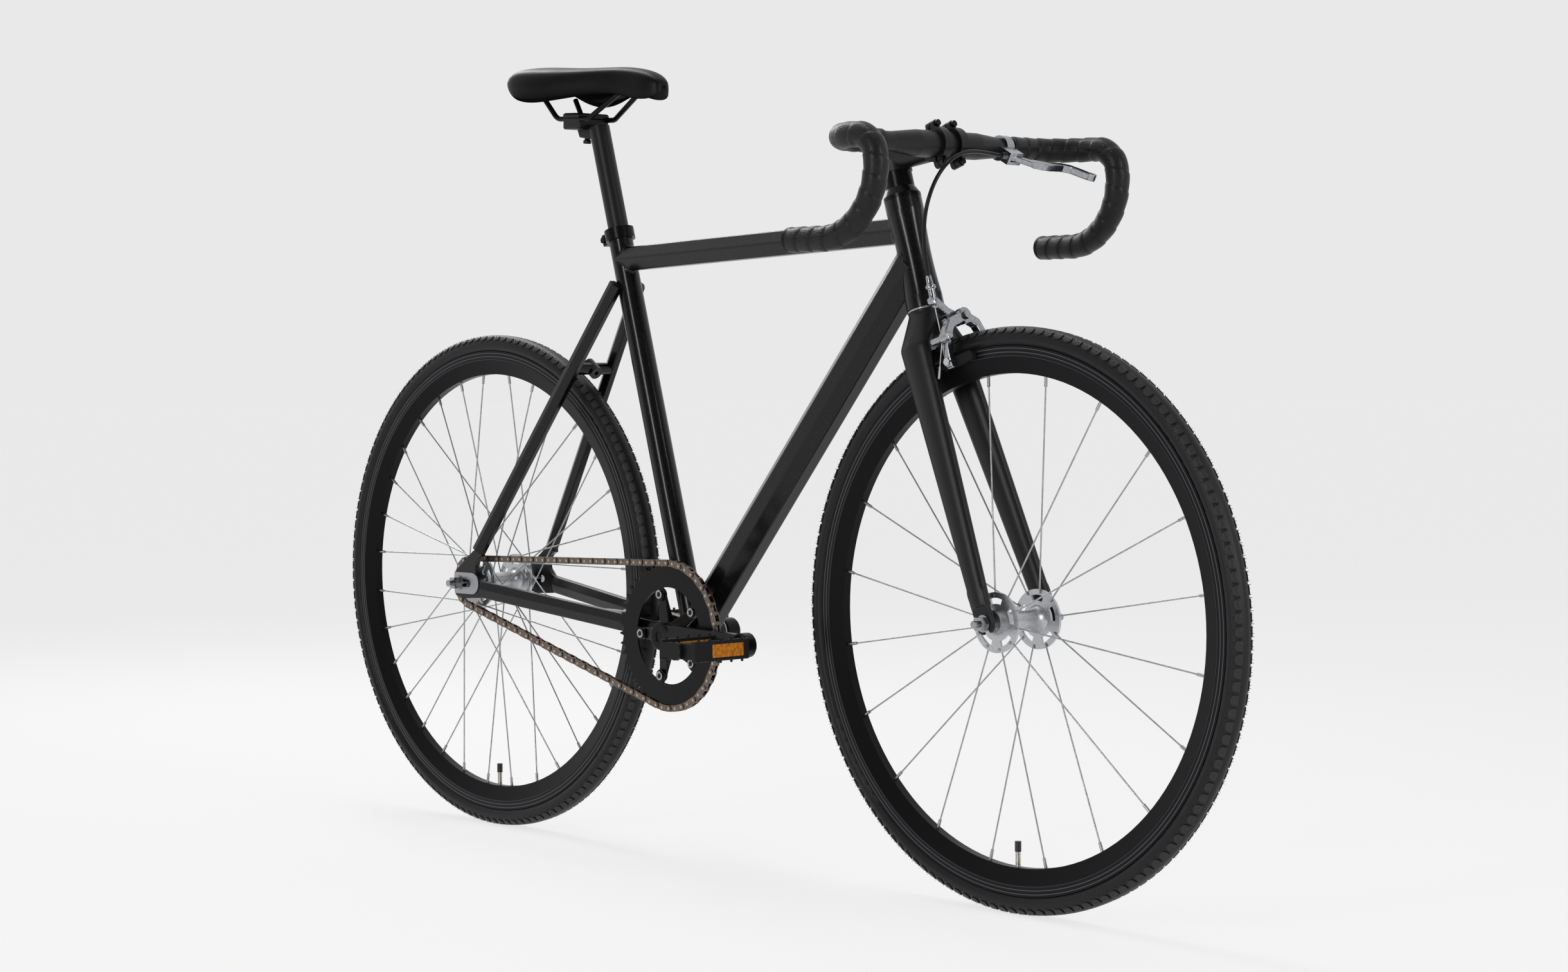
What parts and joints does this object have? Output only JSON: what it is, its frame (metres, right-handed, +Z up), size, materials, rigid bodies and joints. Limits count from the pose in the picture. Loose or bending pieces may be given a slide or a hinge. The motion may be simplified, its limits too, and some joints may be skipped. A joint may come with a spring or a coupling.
{
  "type": "bicycle",
  "caption": "Black fixed gear road bike with drop handlebar, deep black rims, one chainring and cog, platform pedals and a front side-pull brake",
  "frame": {"origin": "on the ground, in the bike's middle plane, below the middle of its overall box", "axes": "X forward along the bike, Y to the rider's left, Z up"},
  "size_m": [1.663, 0.4488, 1.0344],
  "materials": {
    "frame_paint": "gloss black with fine metal flake",
    "matte_black": "satin black",
    "gloss_black": "gloss black",
    "polished_alloy": "polished",
    "plate_steel": "brushed",
    "nut_steel": "bright plated",
    "spoke_steel": "bright drawn wire",
    "rim_black": "satin black anodised",
    "tyre_rubber": "matte",
    "tube_rubber": "matte",
    "pad_rubber": "matte",
    "chain_bronze": "brown oxide finish",
    "bar_tape": "soft foam wrap",
    "black_plastic": "moulded",
    "gloss_plastic": "smooth cable housing",
    "reflector_orange": "clear moulded prism",
    "saddle_cover": "smooth black cover"
  },
  "bodies": {
    "frame": {"head_tube": "frame_paint", "top_tube": "frame_paint", "down_tube": "frame_paint", "seat_tube": "frame_paint", "bottom_bracket_shell": "frame_paint", "chainstays": "frame_paint", "seatstays": "frame_paint", "brake_bridge": "frame_paint", "rear_dropouts": "frame_paint", "dropout_plates": "plate_steel", "seat_clamp": "gloss_black", "headset_bearings": "nut_steel", "bottom_bracket_cups": "plate_steel", "rear_axle": "nut_steel", "chain": "chain_bronze"},
    "seat": {"seatpost": "matte_black", "rail_clamp": "matte_black", "saddle_rails": "gloss_black", "saddle": "saddle_cover"},
    "steering": {"fork_steerer": "plate_steel", "fork_crown": "matte_black", "fork_blades": "matte_black", "headset_spacers": "gloss_black", "stem": "matte_black", "stem_faceplate": "matte_black", "stem_bolts": "gloss_black", "handlebar": "matte_black", "bar_tapes": "bar_tape", "bar_end_plugs": "black_plastic", "lever_bracket": "polished_alloy", "cable_housing": "gloss_plastic", "caliper_bolt": "nut_steel", "front_axle": "nut_steel"},
    "lever": {"brake_lever": "polished_alloy"},
    "brake_arm_right": {"caliper_arm_right": "polished_alloy", "brake_pad_right": "pad_rubber"},
    "brake_arm_left": {"caliper_arm_left": "polished_alloy", "brake_pad_left": "pad_rubber", "cable_wire": "spoke_steel"},
    "front_wheel": {"front_hub": "polished_alloy", "front_spokes": "spoke_steel", "front_rim": "rim_black", "front_tyre": "tyre_rubber", "front_inner_tube": "tube_rubber"},
    "rear_wheel": {"rear_hub": "polished_alloy", "rear_spokes": "spoke_steel", "rear_rim": "rim_black", "rear_tyre": "tyre_rubber", "rear_inner_tube": "tube_rubber", "cog": "plate_steel"},
    "crank": {"crank_spindle": "plate_steel", "crank_arm_right": "gloss_black", "crank_arm_left": "gloss_black", "chainring": "gloss_black", "chainring_bolts": "nut_steel", "pedal_axles": "plate_steel"},
    "right_pedal": {"pedal_right": "black_plastic", "pedal_reflectors_right": "reflector_orange"},
    "left_pedal": {"pedal_left": "black_plastic", "pedal_reflectors_left": "reflector_orange"}
  },
  "joints": [
    {"name": "steering_turn", "type": "hinge", "parent": "frame", "child": "steering", "pos_m": [0.34521, 0, 0.70018], "axis": [-0.2807, 0, 0.9598], "range_deg": [-75, 75]},
    {"name": "front_wheel_spin", "type": "hinge", "parent": "steering", "child": "front_wheel", "pos_m": [0.4925, 0, 0.339], "axis": [0, 1, 0], "continuous": true},
    {"name": "rear_wheel_spin", "type": "hinge", "parent": "frame", "child": "rear_wheel", "pos_m": [-0.4925, 0, 0.339], "axis": [0, 1, 0], "continuous": true, "deforming": ["chain"]},
    {"name": "crank_spin", "type": "hinge", "parent": "frame", "child": "crank", "pos_m": [-0.07429, 0, 0.29], "axis": [0, 1, 0], "continuous": true},
    {"name": "right_pedal_spin", "type": "hinge", "parent": "crank", "child": "right_pedal", "pos_m": [0.0957, -0.133, 0.29], "axis": [0, 1, 0], "continuous": true},
    {"name": "left_pedal_spin", "type": "hinge", "parent": "crank", "child": "left_pedal", "pos_m": [-0.2443, 0.133, 0.29], "axis": [0, 1, 0], "continuous": true},
    {"name": "brake_lever_pull", "type": "hinge", "parent": "steering", "child": "lever", "pos_m": [0.39967, 0.09, 0.87988], "axis": [0.4695, 0, 0.8829], "range_deg": [0, 14], "stiffness_Nm_per_rad": 1.2, "springref_deg": -11.46},
    {"name": "right_arm_close", "type": "hinge", "parent": "steering", "child": "brake_arm_right", "pos_m": [0.35251, 0, 0.67522], "axis": [0.9598, 0, 0.2807], "range_deg": [0, 1.9]},
    {"name": "left_arm_close", "type": "hinge", "parent": "steering", "child": "brake_arm_left", "pos_m": [0.35251, 0, 0.67522], "axis": [0.9598, 0, 0.2807], "range_deg": [-1.9, 0]},
    {"name": "seatpost_slide", "type": "slide", "parent": "frame", "child": "seat", "axis": [-0.2756, 0, 0.9613], "range_m": [-0.1, 0.04]}
  ],
  "couplings": [
    {"joint": "crank_spin", "follows": "rear_wheel_spin", "ratio": 0.34783},
    {"joint": "right_arm_close", "follows": "brake_lever_pull", "ratio": 0.1357},
    {"joint": "left_arm_close", "follows": "brake_lever_pull", "ratio": -0.1357}
  ]
}
